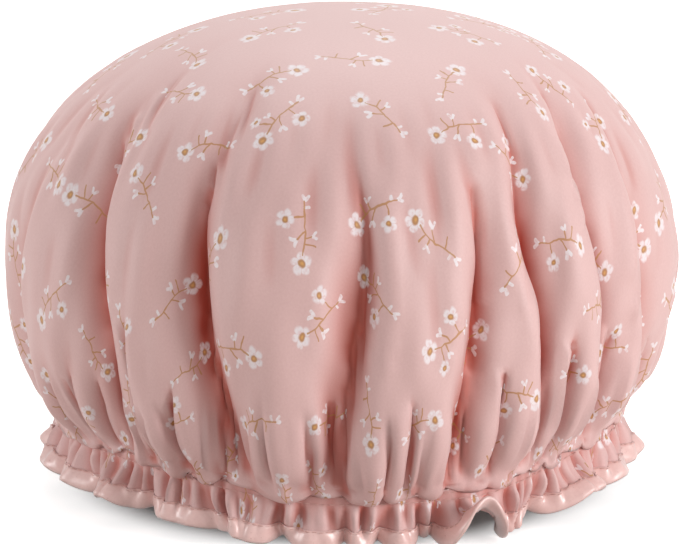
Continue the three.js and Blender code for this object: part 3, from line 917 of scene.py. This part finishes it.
def new_material(name, **settings):
    """A material, its node tree and its shader, with the shader's uniform values set."""
    material = bpy.data.materials.new(name)
    material.use_nodes = True
    shader = material.node_tree.nodes["Principled BSDF"]
    for key, value in settings.items():
        shader.inputs[key.replace("_", " ").title()].default_value = value
    return material, material.node_tree, shader


def blossom_group():
    """Five rounded petals and a heart about a centre, in millimetres."""
    inputs = {"Point": "Vector", "Centre": "Vector", "Size": "Float", "Turn": "Float"}
    outputs = dict.fromkeys(BLOSSOM_PARTS, "Float")
    tree, given = node_group("blossom", "ShaderNodeTree", inputs, outputs)
    away = vector_calc(tree, "SUBTRACT", given["Point"], given["Centre"])
    parts = put(tree, "ShaderNodeSeparateXYZ", {0: away}).outputs
    distance = vector_calc(tree, "LENGTH", away)
    angle = calc(tree, "ADD", calc(tree, "ARCTAN2", parts[1], parts[0]), given["Turn"])
    lobe = calc(tree, "ABSOLUTE", calc(tree, "COSINE", calc(tree, "MULTIPLY", angle, 2.5)))
    reach = calc(tree, "MULTIPLY_ADD", calc(tree, "POWER", lobe, 0.5), 0.36, 0.64)
    edge = calc(tree, "MULTIPLY", reach, given["Size"])
    petals = ramp(tree, calc(tree, "SUBTRACT", edge, distance), -0.5, 0.9)
    crease = ramp(tree, lobe, 0.0, 0.3)
    petals = calc(tree, "MULTIPLY", petals, calc(tree, "MULTIPLY_ADD", crease, 0.35, 0.65))
    share = calc(tree, "DIVIDE", distance, given["Size"])
    heart = calc(tree, "SUBTRACT", 1.0, ramp(tree, share, 0.24, 0.42))
    pollen = calc(tree, "SUBTRACT", 1.0, ramp(tree, share, 0.05, 0.2))
    put(tree, "NodeGroupOutput", {"Petals": petals, "Heart": heart, "Pollen": pollen})
    return tree


def stroke_group():
    """One brush stroke between two points, in millimetres."""
    inputs = {"Point": "Vector", "From": "Vector", "To": "Vector", "Width": "Float"}
    tree, given = node_group("brush_stroke", "ShaderNodeTree", inputs, {"Stroke": "Float"})
    run = vector_calc(tree, "SUBTRACT", given["To"], given["From"])
    away = vector_calc(tree, "SUBTRACT", given["Point"], given["From"])
    reached = vector_calc(tree, "DOT_PRODUCT", away, run)
    along = calc(tree, "DIVIDE", reached, vector_calc(tree, "DOT_PRODUCT", run, run))
    along = put(tree, "ShaderNodeClamp", {"Value": along}).outputs[0]
    foot = put(tree, "ShaderNodeVectorMath", {0: run, "Scale": along}, operation="SCALE").outputs[0]
    distance = vector_calc(tree, "LENGTH", vector_calc(tree, "SUBTRACT", away, foot))
    stroke = ramp(tree, calc(tree, "SUBTRACT", given["Width"], distance), -0.12, 0.14)
    put(tree, "NodeGroupOutput", {"Stroke": stroke})
    return tree


def printed_sprigs(tree, place):
    """Masks of the petals, twigs, hearts and pollen of scattered sprigs, on the flat cloth."""
    waver = put(tree, "ShaderNodeTexNoise", {"Vector": place, "Scale": 130.0, "Detail": 2.0})
    waver = vector_calc(tree, "SUBTRACT", waver.outputs["Color"], (0.5, 0.5, 0.5))
    waver = vector_calc(tree, "MULTIPLY", waver, (0.0036, 0.0036, 0.0))
    place = vector_calc(tree, "ADD", place, waver)
    scatter = put(
        tree,
        "ShaderNodeTexVoronoi",
        {"Vector": place, "Scale": 1 / SPRIG_SPACING, "Randomness": 0.42},
        voronoi_dimensions="2D",
    )
    own = vector_calc(tree, "SUBTRACT", place, scatter.outputs["Position"])
    own = vector_calc(tree, "MULTIPLY", own, (1000, 1000, 0))
    luck = put(tree, "ShaderNodeSeparateColor", {0: scatter.outputs["Color"]}).outputs
    angle = calc(tree, "MULTIPLY", luck[0], FULL_TURN)
    spun = put(tree, "ShaderNodeVectorRotate", {"Vector": own, "Angle": angle}, rotation_type="Z_AXIS")
    side = calc(tree, "MULTIPLY_ADD", calc(tree, "GREATER_THAN", luck[1], 0.5), 2.0, -1.0)
    mirror = put(tree, "ShaderNodeCombineXYZ", {"X": side, "Y": 1.0, "Z": 1.0}).outputs[0]
    own = vector_calc(tree, "MULTIPLY", spun.outputs[0], mirror)
    blossom, stroke = blossom_group(), stroke_group()
    masks = dict.fromkeys((*BLOSSOM_PARTS, "Twigs"), 0.0)
    for number, (centre, size, turn) in enumerate(BLOSSOMS):
        inputs = {"Point": own, "Centre": (*centre, 0), "Size": size, "Turn": turn}
        flower = put(tree, "ShaderNodeGroup", inputs, node_tree=blossom).outputs
        grown = calc(tree, "GREATER_THAN", luck[2], 0.4 * number)
        for part in BLOSSOM_PARTS:
            mask = calc(tree, "MULTIPLY", flower[part], grown)
            masks[part] = calc(tree, "MAXIMUM", masks[part], mask)
    strokes = [("Petals", *bud) for bud in BUDS] + [("Twigs", *twig, TWIG_WIDTH) for twig in TWIGS]
    for part, start, end, width in strokes:
        inputs = {"Point": own, "From": (*start, 0), "To": (*end, 0), "Width": width}
        mask = put(tree, "ShaderNodeGroup", inputs, node_tree=stroke).outputs["Stroke"]
        masks[part] = calc(tree, "MAXIMUM", masks[part], mask)
    return masks


def weave(tree, place, pitch, strength):
    """Height and relief of threads that cross each other at a pitch in metres."""
    parts = put(tree, "ShaderNodeSeparateXYZ", {0: place}).outputs
    turns = FULL_TURN / pitch
    warp = calc(tree, "SINE", calc(tree, "MULTIPLY", parts[0], turns))
    weft = calc(tree, "SINE", calc(tree, "MULTIPLY", parts[1], turns))
    height = calc(tree, "MULTIPLY_ADD", warp, 0.5, calc(tree, "MULTIPLY", weft, 0.5))
    return height, relief(tree, height, strength, 0.0001)


def relief(tree, height, strength, depth):
    """Surface direction of a fine relief, up to a depth in metres."""
    inputs = {"Height": height, "Strength": strength, "Distance": depth}
    return put(tree, "ShaderNodeBump", inputs).outputs[0]


def flat_place(tree):
    return put(tree, "ShaderNodeUVMap", {}, uv_map="flat_cut").outputs[0]


def noise(tree, place, scale, detail):
    """Uneven value between 0 and 1 at each place."""
    inputs = {"Vector": place, "Scale": scale, "Detail": detail}
    return put(tree, "ShaderNodeTexNoise", inputs).outputs["Fac"]


def surface(tree, shader, shade, direction, roughness):
    """Gives a shader its colour, its fine relief and its roughness."""
    for name, socket in (("Base Color", shade), ("Normal", direction), ("Roughness", roughness)):
        tree.links.new(socket, shader.inputs[name])


def printed_satin():
    """Pink satin with ink sprigs, which strike through to its reverse, and with painted shade that makes it
    darker and warmer where folds shade it.
    """
    material, tree, shader = new_material("printed_satin", sheen_weight=0.25, sheen_roughness=0.45)
    place = flat_place(tree)
    cloth_tone = noise(tree, place, 900.0, 3.0)
    shade = mixed(tree, cloth_tone, colour(218, 177, 174), colour(230, 194, 191))
    # Painted shade: the colour turns darker and warmer in the folds and pleats, by the shade kept on the
    # cloth
    painted_shade_share = put(tree, "ShaderNodeAttribute", {}, attribute_name="fold_painted_shade").outputs["Fac"]
    shade = mixed(tree, painted_shade_share, shade, colour(190, 92, 76))
    masks = printed_sprigs(tree, place)
    reverse = put(tree, "ShaderNodeAttribute", {}, attribute_name="reverse").outputs["Fac"]
    strike_through = calc(tree, "MULTIPLY_ADD", reverse, -0.7, 1.0)
    worn = ramp(tree, noise(tree, place, 520.0, 2.0), 0.1, 0.6)
    inks = (
        ("Petals", calc(tree, "MULTIPLY", strike_through, worn), 0.8, colour(246, 240, 244)),
        ("Twigs", strike_through, 0.85, colour(190, 134, 76)),
        ("Heart", strike_through, 0.9, colour(182, 122, 52)),
        ("Pollen", strike_through, 0.7, colour(226, 172, 96)),
    )
    for part, inked, strength, ink in inks:
        cover = calc(tree, "MULTIPLY", masks[part], calc(tree, "MULTIPLY", inked, strength))
        shade = mixed(tree, cover, shade, ink)
    _, threads = weave(tree, place, 0.00042, 0.25)
    surface(tree, shader, shade, threads, calc(tree, "MULTIPLY_ADD", cloth_tone, 0.12, 0.42))
    shader.inputs["Sheen Tint"].default_value = colour(255, 236, 232)
    return material


def glossy_satin():
    material, tree, shader = new_material("glossy_satin", sheen_weight=0.3, anisotropic=0.5)
    place = flat_place(tree)
    slub = noise(tree, place, 700.0, 2.0)
    shade = mixed(tree, slub, colour(228, 184, 178), colour(242, 206, 200))
    _, threads = weave(tree, place, 0.0004, 0.06)
    surface(tree, shader, shade, threads, calc(tree, "MULTIPLY_ADD", slub, 0.08, 0.25))
    shader.inputs["Specular IOR Level"].default_value = 1.0
    return material


def waterproof_film():
    material, tree, shader = new_material("waterproof_film")
    place = put(tree, "ShaderNodeTexCoord", {}).outputs["Object"]
    crinkle = noise(tree, place, 60.0, 4.0)
    # The film's colour is darker in the hollows of its crinkles: painted shade
    shade = mixed(tree, crinkle, colour(236, 216, 212), colour(247, 233, 230))
    wrinkles = relief(tree, crinkle, 0.5, 0.002)
    surface(tree, shader, shade, wrinkles, calc(tree, "MULTIPLY_ADD", crinkle, 0.2, 0.18))
    return material


def woven_material(name, dark, light, pitch, roughness):
    material, tree, shader = new_material(name)
    height, threads = weave(tree, flat_place(tree), pitch, 0.6)
    # The weave's colour is darker in the hollows between threads and lighter on their crowns: painted shade
    shade = mixed(tree, calc(tree, "MULTIPLY_ADD", height, 0.5, 0.5), dark, light)
    surface(tree, shader, shade, threads, calc(tree, "MULTIPLY_ADD", height, 0.08, roughness))
    return material


def sewing_thread():
    material, tree, shader = new_material("sewing_thread", sheen_weight=0.2)
    place = put(tree, "ShaderNodeTexCoord", {}).outputs["Object"]
    twisted = {"Vector": place, "Scale": 1500.0, "Distortion": 3.0}
    ply = put(tree, "ShaderNodeTexWave", twisted).outputs["Fac"]
    # The thread's colour is darker in the grooves of its twist: painted shade
    shade = mixed(tree, ply, colour(206, 156, 148), colour(226, 184, 176))
    twist = relief(tree, ply, 0.4, 0.0001)
    surface(tree, shader, shade, twist, calc(tree, "MULTIPLY_ADD", ply, 0.1, 0.5))
    return material


def studio():
    """White floor and surroundings, with a painted shadow on the floor under the cap, a strong soft light
    at the right, and weaker ones above and left.
    """
    scene = bpy.context.scene
    scene.view_settings.view_transform = "Standard"
    world = bpy.data.worlds.new("studio")
    world.use_nodes = True
    scene.world = world
    tree = world.node_tree
    room = tree.nodes["Background"]
    room.inputs["Color"].default_value = (1.0, 0.985, 0.97, 1)
    direction = put(tree, "ShaderNodeTexCoord", {}).outputs["Generated"]
    upwards = put(tree, "ShaderNodeSeparateXYZ", {0: direction}).outputs["Z"]
    overhead = ramp(tree, upwards, 0.0, 1.0)
    tree.links.new(calc(tree, "MULTIPLY_ADD", overhead, -0.17, 0.52), room.inputs["Strength"])
    white = put(tree, "ShaderNodeBackground", {"Color": (1, 1, 1, 1), "Strength": 1.0})
    shown = {0: seen_or_mirrored(tree), 1: room.outputs[0], 2: white.outputs[0]}
    seen = put(tree, "ShaderNodeMixShader", shown)
    tree.links.new(seen.outputs[0], tree.nodes["World Output"].inputs["Surface"])
    soft_light("key", place=(1.5, -0.95, 0.42), size=0.8, power=20.5)
    soft_light("overhead", place=(0.0, 0.7, 1.3), size=0.9, power=9)
    soft_light("left_side", place=(-1.45, -0.3, 0.3), size=0.6, power=6.5)
    material, tree, shader = new_material("studio_floor", roughness=0.9)
    grain = put(tree, "ShaderNodeTexNoise", {"Scale": 40.0}).outputs["Fac"]
    paper = mixed(tree, grain, (0.9, 0.9, 0.9, 1), (0.94, 0.94, 0.94, 1))
    seen = seen_or_mirrored(tree)
    # Light that bounces off the floor onto the cap meets a darker, warmer colour than the camera sees
    tree.links.new(mixed(tree, seen, (0.51, 0.45, 0.41, 1), paper), shader.inputs["Base Color"])
    shader.inputs["Emission Color"].default_value = (1, 1, 1, 1)
    # The floor glows white for the camera and in reflections, but not under the cap, where the glow fades
    # out as a painted shadow
    place = put(tree, "ShaderNodeTexCoord", {}).outputs["Object"]
    beyond_painted_shadow = ramp(tree, vector_calc(tree, "LENGTH", place), 0.090, 0.116)
    glow = calc(tree, "MULTIPLY", calc(tree, "MULTIPLY", seen, 0.68), beyond_painted_shadow)
    tree.links.new(glow, shader.inputs["Emission Strength"])
    floor = new_piece(
        "studio_floor", [(-4, -4, 0), (4, -4, 0), (4, 4, 0), (-4, 4, 0)], [(0, 1, 2, 3)], material
    )


def seen_or_mirrored(tree):
    """1 where a surface is seen by the camera, in a reflection or through a clear piece."""
    path = put(tree, "ShaderNodeLightPath", {}).outputs
    mirrored = calc(tree, "MAXIMUM", path["Is Glossy Ray"], path["Is Transmission Ray"])
    return calc(tree, "MAXIMUM", path["Is Camera Ray"], mirrored)


def soft_light(name, place, size, power):
    """Square lamp that faces the middle of the cap."""
    light = bpy.data.lights.new(name, "AREA")
    light.size = size
    light.energy = power
    aim(in_scene(name, light), Vector(place), Vector((0, 0, 0.09)))


def aim(thing, place, target):
    """Puts a lamp or a camera in its place and turns it to a target."""
    thing.location = place
    thing.rotation_euler = (target - thing.location).to_track_quat("-Z", "Y").to_euler()


def photograph_camera():
    """Camera in front of the cap, a little above it, framed as in the photograph."""
    distance, elevation, seen_width = 2.0, math.radians(12.5), 0.2815
    camera = bpy.data.cameras.new("camera")
    camera.lens = camera.sensor_width * distance / seen_width
    holder = in_scene("camera", camera)
    target = Vector((0, 0, 0.0872))
    away = Vector((0, -math.cos(elevation), math.sin(elevation)))
    aim(holder, target + distance * away, target)
    bpy.context.scene.camera = holder


def stretch_with_rim(piece):
    """Bakes the piece's placement into its mesh."""
    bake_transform(piece)


photograph_camera()
studio()
cloth = Cloth()
thread = sewing_thread()
satin = satin_cloth(cloth, printed_satin())
film, film_length = lining_film(cloth, waterproof_film())
binding, binding_face = hem_binding(cloth, glossy_satin())
pink_weave = woven_material("casing_tape", colour(196, 148, 140), colour(226, 184, 176), 0.0006, 0.7)
tape = casing_tape(pink_weave)
white_weave = woven_material("woven_elastic", colour(214, 206, 200), colour(245, 240, 236), 0.0009, 0.8)
elastic = woven_elastic(white_weave)
rows = thread_rows(cloth, binding_face, stitch_tree(), thread)
bartack = lap_bartack(thread)

standing_for = {
    satin: ("outer_shell", "frill_front", "frill_back"),
    film: ("waterproof_lining",),
    binding: ("hem_binding_front", "hem_binding_back"),
    tape: ("elastic_casing_front", "elastic_casing_back"),
    elastic: ("elastic_band_front", "elastic_band_back"),
    bartack: ("elastic_lap_bartack",),
}
for name, piece in rows.items():
    standing_for[piece] = (name + "_front", name + "_back")
for piece, nodes in standing_for.items():
    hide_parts(*nodes)
    stretch_with_rim(piece)
